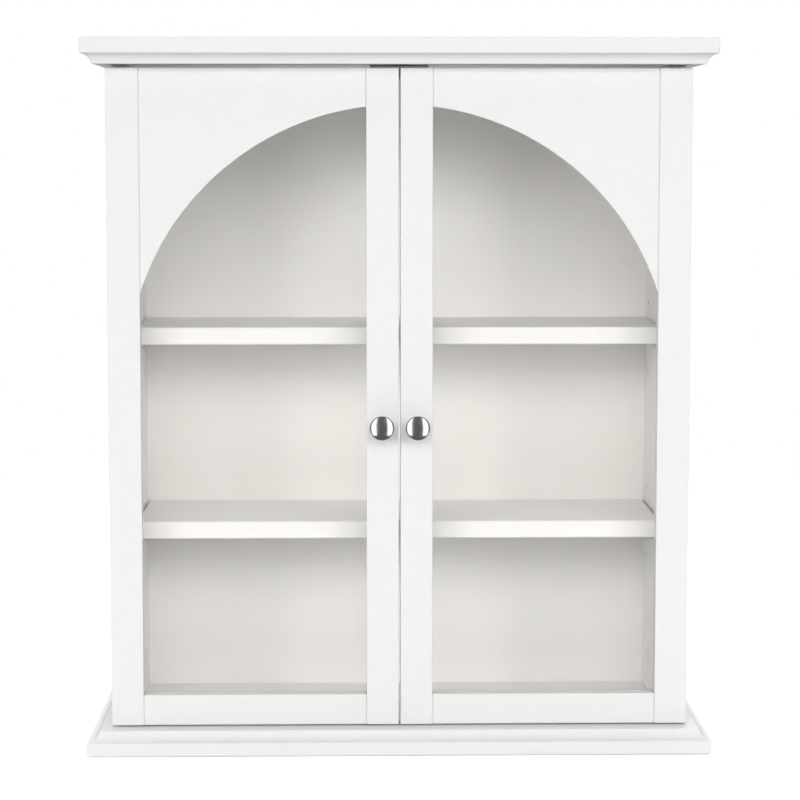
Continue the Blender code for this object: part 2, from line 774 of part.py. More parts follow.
def hinge_pin_profile():
    half = HINGE_HEIGHT / 2 + TOUCH
    top = half + HINGE_PIN_HEAD
    return [
        (0.0, top),
        (HINGE_PIN_HEAD_FLAT_RADIUS, top),
        (HINGE_PIN_HEAD_RADIUS, half + HINGE_PIN_HEAD / 2),
        (HINGE_PIN_HEAD_RADIUS, half),
        (HINGE_PIN_RADIUS, half),
        (HINGE_PIN_RADIUS, -half),
        (HINGE_PIN_HEAD_RADIUS, -half),
        (HINGE_PIN_HEAD_RADIUS, -half - HINGE_PIN_HEAD / 2),
        (HINGE_PIN_HEAD_FLAT_RADIUS, -top),
        (0.0, -top),
    ]


def add_hinge(side, level, door_axis):
    sign = SIDES[side]
    centre_z = HINGE_CENTRES_Z[level]
    name = f"{side}_{level}_hinge"
    add_hinge_leaf(name + "_carcass_leaf", sign, centre_z, False, None)
    add_hinge_leaf(name + "_door_leaf", sign, centre_z, True, door_axis)
    where = (sign * HINGE_AXIS_X, HINGE_AXIS_Y, centre_z)
    add_turned(name + "_pin", hinge_pin_profile(), SMALL_SIDES, where, (0, 0, 0), ZINC)


# Doors


def add_stile(name, sign, outer_x, inner_x, parent):
    """A full-height stile between two distances from the middle: the opening is on its inner_x side."""
    stile = add_box(
        name,
        (sign * outer_x, DOOR_FRONT_Y, DOOR_LOW_Z),
        (sign * inner_x, DOOR_BACK_Y, DOOR_HIGH_Z),
        PAINT,
        parent,
    )
    ease(stile, STILE_ARRIS, 2)
    inward = 1 if outer_x > inner_x else -1
    rebate = cutter_box(
        name + "_rebate",
        (sign * (inner_x - inward * PAST), REBATE_Y, REBATE_LOW_Z),
        (sign * (inner_x + inward * REBATE_WIDTH), DOOR_BACK_Y + PAST, REBATE_HIGH_Z),
        parent,
    )
    cut(stile, rebate)
    for low, high in (bottom_tenon_span(), top_tenon_span()):
        mortise = cutter_box(
            f"{name}_mortise_{round(low * 1000)}",
            (sign * (inner_x - inward * PAST), tenon_front_y() - TOUCH, low - TOUCH),
            (
                sign * (inner_x + inward * (TENON_LENGTH + TOUCH)),
                tenon_front_y() + TENON_THICKNESS + TOUCH,
                high + TOUCH,
            ),
            parent,
        )
        cut(stile, mortise)
    return stile


def tenon_front_y():
    return (RAIL_FRONT_Y + DOOR_BACK_Y - TENON_THICKNESS) / 2


def bottom_tenon_span():
    return DOOR_LOW_Z + TENON_SHOULDER, REBATE_LOW_Z - TENON_SHOULDER


def top_tenon_span():
    return REBATE_HIGH_Z + TENON_SHOULDER, DOOR_HIGH_Z - TENON_SHOULDER


def add_tenons(rail, sign, span, parent):
    """A tenon on each end of a rail, reaching into the stiles."""
    ends = {"inner": (OPENING_INNER_X, -1), "outer": (OPENING_OUTER_X, 1)}
    for end, (edge_x, out) in ends.items():
        tenon = cutter_box(
            f"{rail.name}_{end}_tenon",
            (sign * (edge_x - out * TENON_LENGTH), tenon_front_y(), span[0]),
            (sign * (edge_x + out * TENON_LENGTH), tenon_front_y() + TENON_THICKNESS, span[1]),
            parent,
        )
        join(rail, tenon)


def add_bottom_rail(side, parent):
    sign = SIDES[side]
    name = side + "_bottom_rail"
    rail = add_box(
        name,
        (sign * (OPENING_INNER_X + TOUCH), RAIL_FRONT_Y, DOOR_LOW_Z),
        (sign * (OPENING_OUTER_X - TOUCH), DOOR_BACK_Y, OPENING_LOW_Z),
        PAINT,
        parent,
        arris=STILE_ARRIS,
    )
    rebate = cutter_box(
        name + "_rebate",
        (sign * (OPENING_INNER_X - PAST), REBATE_Y, REBATE_LOW_Z),
        (sign * (OPENING_OUTER_X + PAST), DOOR_BACK_Y + PAST, OPENING_LOW_Z + PAST),
        parent,
    )
    cut(rail, rebate)
    add_tenons(rail, sign, bottom_tenon_span(), parent)


def add_arch_rail(side, parent):
    """The top rail of a door: half of one round arch that spans both doors."""
    sign = SIDES[side]
    name = side + "_arch_rail"
    spring_x = OPENING_OUTER_X - TOUCH
    spring_z = ARCH_CENTRE_Z + math.sqrt(ARCH_RADIUS**2 - spring_x**2)
    rail = add_box(
        name,
        (sign * (OPENING_INNER_X + TOUCH), RAIL_FRONT_Y, spring_z - PAST),
        (sign * spring_x, DOOR_BACK_Y, DOOR_HIGH_Z),
        PAINT,
        parent,
        arris=STILE_ARRIS,
    )
    rebate = cutter_box(
        name + "_rebate",
        (sign * (OPENING_INNER_X - PAST), REBATE_Y, spring_z - 2 * PAST),
        (sign * (OPENING_OUTER_X + PAST), DOOR_BACK_Y + PAST, REBATE_HIGH_Z),
        parent,
    )
    arch = cutter_rods(
        name + "_arch",
        [((0.0, RAIL_FRONT_Y - PAST, ARCH_CENTRE_Z), (0.0, DOOR_BACK_Y + PAST, ARCH_CENTRE_Z))],
        ARCH_RADIUS,
        ARCH_SIDES,
        parent,
    )
    cut(rail, rebate, arch)
    add_tenons(rail, sign, top_tenon_span(), parent)


def add_glazing(side, parent):
    """The pane and the four beads that hold it in the rebate."""
    sign = SIDES[side]
    inner_x = OPENING_INNER_X - REBATE_WIDTH + GLASS_ROOM
    outer_x = OPENING_OUTER_X + REBATE_WIDTH - GLASS_ROOM
    low_z = REBATE_LOW_Z + GLASS_ROOM
    high_z = REBATE_HIGH_Z - GLASS_ROOM
    glass_y = REBATE_Y + TOUCH
    bead_y = glass_y + GLASS_THICKNESS + TOUCH
    add_box(
        side + "_glass",
        (sign * inner_x, glass_y, low_z),
        (sign * outer_x, glass_y + GLASS_THICKNESS, high_z),
        GLASS,
        parent,
        arris=GLASS_ARRIS,
    )
    cross_inner_x = inner_x + BEAD_WIDTH + TOUCH
    cross_outer_x = outer_x - BEAD_WIDTH - TOUCH
    beads = {
        "inner": ((inner_x, low_z), (inner_x + BEAD_WIDTH, high_z)),
        "outer": ((outer_x - BEAD_WIDTH, low_z), (outer_x, high_z)),
        "lower": ((cross_inner_x, low_z), (cross_outer_x, low_z + BEAD_WIDTH)),
        "upper": ((cross_inner_x, high_z - BEAD_WIDTH), (cross_outer_x, high_z)),
    }
    for edge, ((first_x, first_z), (second_x, second_z)) in beads.items():
        add_box(
            f"{side}_glazing_bead_{edge}",
            (sign * first_x, bead_y, first_z),
            (sign * second_x, DOOR_BACK_Y, second_z),
            PAINT,
            parent,
            arris=STILE_ARRIS,
        )


def knob_profile():
    """From the front of the cap round the rim, the back of the head, the neck and the foot into the bore."""
    rim_radius = KNOB_RADIUS - KNOB_RIM_ROUND
    to_rim = KNOB_CAP_RADIUS - KNOB_RIM_ROUND
    rim_angle = math.degrees(math.acos(rim_radius / to_rim))
    cap_centre = KNOB_PROJECTION - KNOB_CAP_RADIUS
    rim_height = cap_centre + math.sqrt(to_rim**2 - rim_radius**2)
    cap = arc((0.0, cap_centre), (KNOB_CAP_RADIUS, KNOB_CAP_RADIUS), 90, rim_angle, CAP_STEPS)
    cap[0] = (0.0, KNOB_PROJECTION)
    rim = arc((rim_radius, rim_height), (KNOB_RIM_ROUND, KNOB_RIM_ROUND), rim_angle, -45, RIM_STEPS)
    flare = KNOB_FOOT_RADIUS - KNOB_NECK_RADIUS
    bore = KNOB_SCREW_RADIUS + TOUCH
    depth = KNOB_SCREW_IN_KNOB + 2 * TOUCH
    stem = [
        (KNOB_NECK_RADIUS, KNOB_PROJECTION - KNOB_HEAD_DEPTH),
        (KNOB_NECK_RADIUS, KNOB_FOOT_HEIGHT + flare),
        (KNOB_FOOT_RADIUS, KNOB_FOOT_HEIGHT),
        (KNOB_FOOT_RADIUS, TOUCH),
        (bore, TOUCH),
        (bore, depth),
        (0.0, depth),
    ]
    return cap + rim[1:] + stem


def knob_screw_profile():
    """Height 0 is the front of the door, and the head is behind it."""
    seat = -DOOR_THICKNESS - TOUCH
    back = seat - KNOB_SCREW_HEAD
    return [
        (0.0, KNOB_SCREW_IN_KNOB),
        (KNOB_SCREW_RADIUS, KNOB_SCREW_IN_KNOB),
        (KNOB_SCREW_RADIUS, seat),
        (KNOB_SCREW_HEAD_RADIUS, seat),
        (KNOB_SCREW_HEAD_RADIUS, seat - KNOB_SCREW_HEAD / 2),
        (KNOB_SCREW_HEAD_FLAT_RADIUS, back),
        (0.0, back),
    ]


def add_knob(side, lock_stile, parent):
    where = (
        SIDES[side] * (DOOR_INNER_X + KNOB_FROM_DOOR_EDGE),
        DOOR_FRONT_Y,
        DOOR_LOW_Z + KNOB_ABOVE_DOOR_BOTTOM,
    )
    through = [((where[0], DOOR_FRONT_Y - PAST, where[2]), (where[0], DOOR_BACK_Y + PAST, where[2]))]
    hole_radius = KNOB_SCREW_RADIUS + TOUCH
    cut(lock_stile, cutter_rods(side + "_knob_hole", through, hole_radius, HOLE_SIDES, parent))
    turn = (90, 0, 0)
    add_turned(side + "_knob", knob_profile(), KNOB_SIDES, where, turn, SATIN_NICKEL, parent)
    add_turned(side + "_knob_screw", knob_screw_profile(), SMALL_SIDES, where, turn, ZINC, parent)


def add_strike(side, parent):
    sign = SIDES[side]
    middle_x = sign * MAGNET_FROM_MIDDLE
    high_z = DOOR_HIGH_Z - STRIKE_BELOW_DOOR_TOP
    add_box(
        side + "_strike_plate",
        (middle_x - STRIKE_WIDTH / 2, DOOR_BACK_Y + TOUCH, high_z - STRIKE_HEIGHT),
        (middle_x + STRIKE_WIDTH / 2, DOOR_BACK_Y + TOUCH + STRIKE_THICKNESS, high_z),
        ZINC,
        parent,
        arris=STRIKE_ARRIS,
    )


def add_door(side):
    sign = SIDES[side]
    axis = add_hinge_axis(side)
    hinge_stile = add_stile(side + "_hinge_stile", sign, DOOR_OUTER_X, OPENING_OUTER_X, axis)
    lock_stile = add_stile(side + "_lock_stile", sign, DOOR_INNER_X, OPENING_INNER_X, axis)
    half = hinge_notch_half_height()
    near_x = sign * (HINGE_AXIS_X - KNUCKLE_ROOM)
    for level, centre_z in HINGE_CENTRES_Z.items():
        notch = cutter_box(
            f"{side}_door_{level}_notch",
            (near_x, HINGE_AXIS_Y - KNUCKLE_ROOM, centre_z - half),
            (sign * (DOOR_OUTER_X + PAST), DOOR_BACK_Y + PAST, centre_z + half),
            axis,
        )
        cut(hinge_stile, notch)
        add_hinge(side, level, axis)
    add_bottom_rail(side, axis)
    add_arch_rail(side, axis)
    add_glazing(side, axis)
    add_knob(side, lock_stile, axis)
    add_strike(side, axis)


def smooth_round_pieces():
    for piece in CABINET.objects:
        if piece.type == "MESH" and any(modifier.type == "BOOLEAN" for modifier in piece.modifiers):
            smooth(piece.data)


add_boards()
add_back()
add_hanging_rail()
add_catch()
for side_name in SIDES:
    add_side_panel(side_name)
    add_dowels(side_name)
    add_hanger_plate(side_name)
    add_door(side_name)
for shelf_level in SHELF_UNDERSIDES:
    add_shelf(shelf_level)
    add_shelf_pins(shelf_level)
smooth_round_pieces()
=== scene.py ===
"""The looks of the arched wall cabinet: its finishes, fine pieces, a floor, lights and a camera.

Everything is in metres in the cabinet's own frame: +Z up, the front faces -Y.
"""

import json
import math

import bmesh
import bpy
from mathutils import Matrix, Vector


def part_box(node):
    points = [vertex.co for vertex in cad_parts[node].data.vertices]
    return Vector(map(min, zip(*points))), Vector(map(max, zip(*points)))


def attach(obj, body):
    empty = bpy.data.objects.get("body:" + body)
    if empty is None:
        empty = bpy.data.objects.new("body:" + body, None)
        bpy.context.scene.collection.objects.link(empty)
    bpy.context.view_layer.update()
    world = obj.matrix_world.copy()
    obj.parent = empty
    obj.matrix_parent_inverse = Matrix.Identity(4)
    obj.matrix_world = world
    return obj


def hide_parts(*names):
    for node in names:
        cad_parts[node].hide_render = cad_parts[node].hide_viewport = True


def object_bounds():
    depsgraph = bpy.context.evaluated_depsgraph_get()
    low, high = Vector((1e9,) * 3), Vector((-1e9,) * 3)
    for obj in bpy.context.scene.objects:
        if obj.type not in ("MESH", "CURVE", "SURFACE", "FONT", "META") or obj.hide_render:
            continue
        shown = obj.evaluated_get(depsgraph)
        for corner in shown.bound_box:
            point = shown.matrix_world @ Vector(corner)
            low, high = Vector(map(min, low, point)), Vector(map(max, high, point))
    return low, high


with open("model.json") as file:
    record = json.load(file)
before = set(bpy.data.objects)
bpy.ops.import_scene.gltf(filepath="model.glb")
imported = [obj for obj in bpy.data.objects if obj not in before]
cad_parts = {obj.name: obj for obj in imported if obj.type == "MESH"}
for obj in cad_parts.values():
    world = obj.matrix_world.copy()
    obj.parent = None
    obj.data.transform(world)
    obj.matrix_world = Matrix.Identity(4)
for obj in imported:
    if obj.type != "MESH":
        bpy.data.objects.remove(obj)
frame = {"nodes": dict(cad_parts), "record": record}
CAD_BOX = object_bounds()
NODES = frame["nodes"]
SIDES = {"left": -1, "right": 1}
DOORS = {"left": "left_door", "right": "right_door"}

# Camera
CAMERA_PLACE = Vector((-0.0371, -2.05, 0.5153))
CAMERA_DOWN = math.radians(5.138)
CAMERA_YAW = math.radians(1.087)
CAMERA_LENS = 104.6
CAMERA_SHIFT_UP = -0.05

# Fine pieces
SMOOTH_UNDER = math.radians(34)
KNOB_TURNS = 96
KNOB_CAP_RADIUS = 0.026
KNOB_RIM_ROUND = 0.0017
KNOB_NECK_RADIUS = 0.0042
KNOB_FOOT_RADIUS = 0.0056
KNOB_FOOT_HEIGHT = 0.0012
KNOB_HEAD_DEPTH = 0.0095
HINGE_SCREW_HEAD = 0.0024
STRIKE_SCREW_HEAD = 0.0025
PLATE_SCREW_HEAD = 0.0018
HEAD_PROUD = 0.0001
CAM_CAP_RADIUS = 0.0085
CAM_CAP_THICKNESS = 0.0006
CAM_CAP_EDGE = 0.0004
CAM_CAP_SUNK = 0.00005
CAM_FROM_END = 0.034
CAM_FROM_FRONT = 0.040
CAM_FROM_BACK = 0.050

# Screws
SCREW_TURNS = 32
SCREW_LENGTH = 0.010
SCREW_DOME_STEPS = 6
SCREW_RIM = 0.00015
SCREW_RIM_SHARE = 0.98
SCREW_SHANK_SHARE = 0.42
RECESS_REACH_SHARE = 0.55
RECESS_SLOT_SHARE = 0.13
RECESS_DEPTH_SHARE = 0.45
HINGE_LEAF_GAP = 0.0003
HINGE_SCREW_OFFSET = 0.016
CATCH_SCREW_HEAD = 0.0028
CATCH_SCREW_PROUD = 0.0009
CATCH_SCREW_FROM_MIDDLE = 0.020
CATCH_SCREW_BEHIND_MIDDLE = 0.003
STRIKE_SCREW_ABOVE_LOW_END = 0.0042
PLATE_SCREW_FROM_MIDDLE = 0.023
PLATE_SCREW_SUNK = 0.0004

# Magnets and pole plates in the catch, measured from its front and its middle
MAGNET_FROM_MIDDLE = 0.0135
MAGNET_HALF_WIDTH = 0.0077
MAGNET_HALF_HEIGHT = 0.0016
MAGNET_FRONT = 0.0004
MAGNET_BACK = 0.00085
MAGNET_ARRIS = 0.0001
POLE_FRONT = 0.0002
POLE_INNER_Z = 0.0018
POLE_OUTER_Z = 0.0028

# Paint over the joints between stiles and rails
JOINT_WIDTH = 0.0003
JOINT_SEARCH = 0.0012
JOINT_PAINT_DEPTH = 0.00035
JOINT_PAINT_BACK = 0.0030

# Finishes
FACE_MARGIN = 0.0002
WORN_EDGE_RADIUS = 0.0009

# Floor, backdrop and lamps
FLOOR_HALF_SIZE = 3.0
FLOOR_DROP = 0.0002
FLOOR_FADE_START = 0.7
FLOOR_FADE_END = 1.7
FLOOR_GLOW = 0.4
BACKDROP_SEEN = 1.0
FILL_LIGHT = 0.10
BACKDROP_IN_METAL = 0.14
AIM = Vector((0.0, -0.05, 0.32))


# Shader nodes


def new_material(name):
    """A material with a node tree: returns it, its tree and its main shader."""
    material = bpy.data.materials.new(name)
    material.use_nodes = True
    tree = material.node_tree
    return material, tree, tree.nodes["Principled BSDF"]


def add_node(tree, kind, **settings):
    """A node of the given kind, with its own settings."""
    node = tree.nodes.new(kind)
    for name, value in settings.items():
        setattr(node, name, value)
    return node


def feed(tree, socket, value):
    """Gives a socket a constant or another node's output."""
    if isinstance(value, bpy.types.NodeSocket):
        tree.links.new(value, socket)
    else:
        socket.default_value = value


def place_in_piece(tree, stretch=(1.0, 1.0, 1.0)):
    """The point's place on the piece in metres, stretched along the piece's axes."""
    place = add_node(tree, "ShaderNodeTexCoord").outputs["Object"]
    mapping = add_node(tree, "ShaderNodeMapping")
    mapping.inputs["Scale"].default_value = stretch
    tree.links.new(place, mapping.inputs["Vector"])
    return mapping.outputs["Vector"]


def noise(tree, place, scale, detail=3.0, roughness=0.5, distortion=0.0):
    """A noise pattern: most of it lies between 0.3 and 0.7."""
    texture = add_node(tree, "ShaderNodeTexNoise")
    feed(tree, texture.inputs["Vector"], place)
    feed(tree, texture.inputs["Scale"], scale)
    feed(tree, texture.inputs["Detail"], detail)
    feed(tree, texture.inputs["Roughness"], roughness)
    feed(tree, texture.inputs["Distortion"], distortion)
    return texture.outputs["Fac"]


def between(tree, factor, low, high, from_low=0.3, from_high=0.7):
    """Maps a pattern's usable span onto low..high."""
    spread = add_node(tree, "ShaderNodeMapRange")
    feed(tree, spread.inputs["Value"], factor)
    feed(tree, spread.inputs["From Min"], from_low)
    feed(tree, spread.inputs["From Max"], from_high)
    feed(tree, spread.inputs["To Min"], low)
    feed(tree, spread.inputs["To Max"], high)
    return spread.outputs["Result"]


def blend_colours(tree, factor, first, second, how="MIX"):
    """Blends two colours, each a constant or another node's output."""
    mix = add_node(tree, "ShaderNodeMix", data_type="RGBA", blend_type=how)
    feed(tree, mix.inputs["Factor"], factor)
    feed(tree, mix.inputs["A"], (*first, 1.0) if isinstance(first, tuple) else first)
    feed(tree, mix.inputs["B"], (*second, 1.0) if isinstance(second, tuple) else second)
    return mix.outputs["Result"]


def calculate(tree, operation, first, second=0.0):
    """One step of arithmetic."""
    step = add_node(tree, "ShaderNodeMath", operation=operation)
    feed(tree, step.inputs[0], first)
    feed(tree, step.inputs[1], second)
    return step.outputs["Value"]


def bump(tree, height, distance):
    """A bumped normal: distance is the height in metres of a full step of the pattern."""
    node = add_node(tree, "ShaderNodeBump")
    feed(tree, node.inputs["Height"], height)
    feed(tree, node.inputs["Distance"], distance)
    feed(tree, node.inputs["Strength"], 1.0)
    return node.outputs["Normal"]


# Finishes


def painted_light_inside_mask(tree):
    """1 on the faces round the compartments, which the paint gives a lighter white as painted light
    against their shade, 0 on every other face.
    """
    point = add_node(tree, "ShaderNodeSeparateXYZ")
    tree.links.new(add_node(tree, "ShaderNodeTexCoord").outputs["Object"], point.inputs["Vector"])
    inner_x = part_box("right_side_panel")[0].x + FACE_MARGIN
    front_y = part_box("right_side_panel")[0].y + FACE_MARGIN
    back_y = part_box("back_panel")[0].y + FACE_MARGIN
    floor_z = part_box("base_board")[1].z - FACE_MARGIN
    ceiling_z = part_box("top_board")[0].z + FACE_MARGIN
    across = calculate(tree, "LESS_THAN", calculate(tree, "ABSOLUTE", point.outputs["X"]), inner_x)
    behind = calculate(tree, "GREATER_THAN", point.outputs["Y"], front_y)
    before = calculate(tree, "LESS_THAN", point.outputs["Y"], back_y)
    above = calculate(tree, "GREATER_THAN", point.outputs["Z"], floor_z)
    below = calculate(tree, "LESS_THAN", point.outputs["Z"], ceiling_z)
    deep = calculate(tree, "MULTIPLY", behind, before)
    high = calculate(tree, "MULTIPLY", above, below)
    return calculate(tree, "MULTIPLY", across, calculate(tree, "MULTIPLY", deep, high))


def paint_material(name, colour, shade, roughness, orange_peel, painted_light_inside_colour=None):
    """Sprayed satin paint on MDF: faint clouding, orange peel and thinner paint along the edges.

    Where an inner colour is given, the faces round the compartments get that lighter white: painted
    light that offsets the shade inside the compartments.
    """
    material, tree, shader = new_material(name)
    place = place_in_piece(tree)
    clouds = noise(tree, place, 7.0, 4.0, 0.6)
    fine = noise(tree, place, 160.0, 3.0)
    peel = noise(tree, place, 620.0, 2.0)
    waves = noise(tree, place, 55.0, 2.0)
    base = blend_colours(tree, between(tree, clouds, 0.0, 1.0), colour, shade)
    # Painted light: the faces round the compartments get a lighter white that offsets the shade falling
    # inside them.
    if painted_light_inside_colour is not None:
        base = blend_colours(tree, painted_light_inside_mask(tree), base, painted_light_inside_colour)
    freckles = between(tree, fine, 0.985, 1.0)
    toned = blend_colours(tree, 1.0, base, freckles, "MULTIPLY")
    rounded = add_node(tree, "ShaderNodeBevel", samples=4)
    rounded.inputs["Radius"].default_value = WORN_EDGE_RADIUS
    plain = add_node(tree, "ShaderNodeNewGeometry").outputs["Normal"]
    facing = add_node(tree, "ShaderNodeVectorMath", operation="DOT_PRODUCT")
    tree.links.new(rounded.outputs["Normal"], facing.inputs[0])
    tree.links.new(plain, facing.inputs[1])
    edge = between(tree, facing.outputs["Value"], 1.0, 0.0, 0.8, 0.995)
    wear = calculate(tree, "MULTIPLY", edge, between(tree, fine, 0.15, 0.9))
    thin_paint = tuple(0.93 * part for part in colour[:2]) + (0.89 * colour[2],)
    coloured = blend_colours(tree, wear, toned, thin_paint)
    tree.links.new(coloured, shader.inputs["Base Color"])
    feed(tree, shader.inputs["Roughness"], between(tree, clouds, roughness - 0.04, roughness + 0.05))
    height = calculate(tree, "ADD", calculate(tree, "MULTIPLY", waves, 2.0), peel)
    feed(tree, shader.inputs["Normal"], bump(tree, height, orange_peel))
    shader.inputs["Specular IOR Level"].default_value = 0.25
    return material


def backing_material():
    """Hardboard: lacquered white inside, bare pressed fibre on the wall side."""
    material, tree, shader = new_material("backing finish")
    place = place_in_piece(tree)
    low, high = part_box("back_panel")
    depth = add_node(tree, "ShaderNodeSeparateXYZ")
    tree.links.new(add_node(tree, "ShaderNodeTexCoord").outputs["Object"], depth.inputs["Vector"])
    bare = calculate(tree, "GREATER_THAN", depth.outputs["Y"], (low.y + high.y) / 2)
    fibres = noise(tree, place, 420.0, 6.0, 0.7, 1.5)
    clouds = noise(tree, place, 9.0, 4.0, 0.6)
    lacquer = blend_colours(
        tree, between(tree, clouds, 0.0, 1.0), (0.90, 0.893, 0.88), (0.885, 0.877, 0.862)
    )
    board = blend_colours(
        tree, between(tree, fibres, 0.0, 1.0), (0.30, 0.195, 0.115), (0.52, 0.375, 0.24)
    )
    patches = between(tree, clouds, 0.86, 1.08)
    board = blend_colours(tree, 1.0, board, patches, "MULTIPLY")
    tree.links.new(blend_colours(tree, bare, lacquer, board), shader.inputs["Base Color"])
    smooth_side = between(tree, clouds, 0.42, 0.52)
    rough_side = between(tree, fibres, 0.72, 0.92)
    mixed = add_node(tree, "ShaderNodeMix", data_type="FLOAT")
    feed(tree, mixed.inputs[0], bare)
    feed(tree, mixed.inputs[2], smooth_side)
    feed(tree, mixed.inputs[3], rough_side)
    tree.links.new(mixed.outputs[0], shader.inputs["Roughness"])
    height = calculate(tree, "MULTIPLY", fibres, between(tree, bare, 0.15, 1.0, 0.0, 1.0))
    feed(tree, shader.inputs["Normal"], bump(tree, height, 0.00008))
    return material


def glass_material():
    """Clear float glass with faint wiping marks. Lamps shine through it."""
    material, tree, shader = new_material("glass finish")
    place = place_in_piece(tree)
    smears = noise(tree, place_in_piece(tree, (9.0, 9.0, 2.5)), 3.0, 5.0, 0.6, 1.2)
    ripple = noise(tree, place, 5.0, 1.0)
    tint = blend_colours(
        tree, between(tree, smears, 0.0, 1.0), (0.995, 0.992, 0.985), (0.985, 0.982, 0.974)
    )
    tree.links.new(tint, shader.inputs["Base Color"])
    feed(tree, shader.inputs["Roughness"], between(tree, smears, 0.0, 0.025, 0.45, 0.75))
    shader.inputs["Transmission Weight"].default_value = 1.0
    shader.inputs["IOR"].default_value = 1.5
    feed(tree, shader.inputs["Normal"], bump(tree, ripple, 0.00004))
    see_through = add_node(tree, "ShaderNodeBsdfTransparent")
    see_through.inputs["Color"].default_value = (0.99, 0.985, 0.972, 1.0)
    path = add_node(tree, "ShaderNodeLightPath")
    surface = shader.outputs["BSDF"]
    for ray in ("Is Diffuse Ray", "Is Shadow Ray"):
        mix = add_node(tree, "ShaderNodeMixShader")
        tree.links.new(path.outputs[ray], mix.inputs["Fac"])
        tree.links.new(surface, mix.inputs[1])
        tree.links.new(see_through.outputs["BSDF"], mix.inputs[2])
        surface = mix.outputs["Shader"]
    tree.links.new(surface, tree.nodes["Material Output"].inputs["Surface"])
    return material


def metal_material(name, colour, dark, roughness, stretch, scratch):
    """Plated metal with fine brushing along one direction and faint stains."""
    material, tree, shader = new_material(name)
    place = place_in_piece(tree)
    brushing = noise(tree, place_in_piece(tree, stretch), 900.0, 4.0, 0.7)
    stains = noise(tree, place, 210.0, 4.0, 0.6)
    tone = blend_colours(tree, between(tree, brushing, 0.0, 1.0), dark, colour)
    tone = blend_colours(tree, 1.0, tone, between(tree, stains, 0.94, 1.03), "MULTIPLY")
    tree.links.new(tone, shader.inputs["Base Color"])
    shader.inputs["Metallic"].default_value = 1.0
    brushed, stained = between(tree, brushing, -0.04, 0.05), between(tree, stains, -0.02, 0.04)
    uneven = calculate(tree, "ADD", brushed, stained)
    feed(tree, shader.inputs["Roughness"], calculate(tree, "ADD", uneven, roughness))
    feed(tree, shader.inputs["Normal"], bump(tree, brushing, scratch))
    return material


def beech_material():
    """Bare beech: warm lengthwise grain with short darker flecks."""
    material, tree, shader = new_material("beech finish")
    grain = noise(tree, place_in_piece(tree, (1.0, 1.0, 0.06)), 900.0, 5.0, 0.65)
    flecks = noise(tree, place_in_piece(tree, (1.0, 1.0, 0.2)), 1500.0, 2.0)
    wood = blend_colours(tree, between(tree, grain, 0.0, 1.0), (0.46, 0.31, 0.185), (0.62, 0.46, 0.30))
    fleck = between(tree, flecks, 0.0, 0.55, 0.6, 0.75)
    tree.links.new(blend_colours(tree, fleck, wood, (0.33, 0.21, 0.12)), shader.inputs["Base Color"])
    feed(tree, shader.inputs["Roughness"], between(tree, grain, 0.55, 0.7))
    feed(tree, shader.inputs["Normal"], bump(tree, grain, 0.00006))
    return material


def plastic_material(name, colour, shade, roughness):
    """Moulded plastic with a fine spark-eroded grain."""
    material, tree, shader = new_material(name)
    place = place_in_piece(tree)
    grain = noise(tree, place, 2400.0, 2.0)
    flow = noise(tree, place, 60.0, 3.0)
    tone = blend_colours(tree, between(tree, flow, 0.0, 1.0), colour, shade)
    tree.links.new(tone, shader.inputs["Base Color"])
    feed(tree, shader.inputs["Roughness"], between(tree, grain, roughness - 0.05, roughness + 0.08))
    feed(tree, shader.inputs["Normal"], bump(tree, grain, 0.00003))
    return material


FINISHES = {
    # The paint's last colour is painted light: a lighter white for the faces round the compartments,
    # offsetting their shade.
    "paint": paint_material(
        "paint finish", (0.735, 0.733, 0.732), (0.722, 0.72, 0.718), 0.36, 0.00003, (0.89, 0.883, 0.872)
    ),
    # The inner paint is the cabinet's own white, made lighter than the outer paint as painted light that
    # offsets the shade inside the compartments.
    "inner_paint": paint_material(
        "inner paint with painted light", (0.895, 0.889, 0.878), (0.88, 0.873, 0.862), 0.4, 0.00003
    ),
    "backing": backing_material(),
    "glass": glass_material(),
    "satin_nickel": metal_material(
        "satin nickel finish", (0.66, 0.645, 0.62), (0.57, 0.555, 0.53), 0.17, (1.0, 1.0, 1.0), 0.000004
    ),
    "hinge_steel": metal_material(
        "hinge steel finish", (0.72, 0.705, 0.685), (0.665, 0.65, 0.63), 0.3, (1.0, 1.0, 0.05), 0.000003
    ),
    "zinc_steel": metal_material(
        "zinc steel finish", (0.74, 0.75, 0.765), (0.67, 0.68, 0.695), 0.32, (0.05, 1.0, 1.0), 0.000004
    ),
    "beech": beech_material(),
    "catch_plastic": plastic_material(
        "catch plastic finish", (0.80, 0.80, 0.785), (0.77, 0.77, 0.75), 0.42
    ),
}
MAGNET_FINISH = plastic_material("magnet finish", (0.055, 0.052, 0.05), (0.035, 0.033, 0.032), 0.5)


# Carried-over CAD nodes


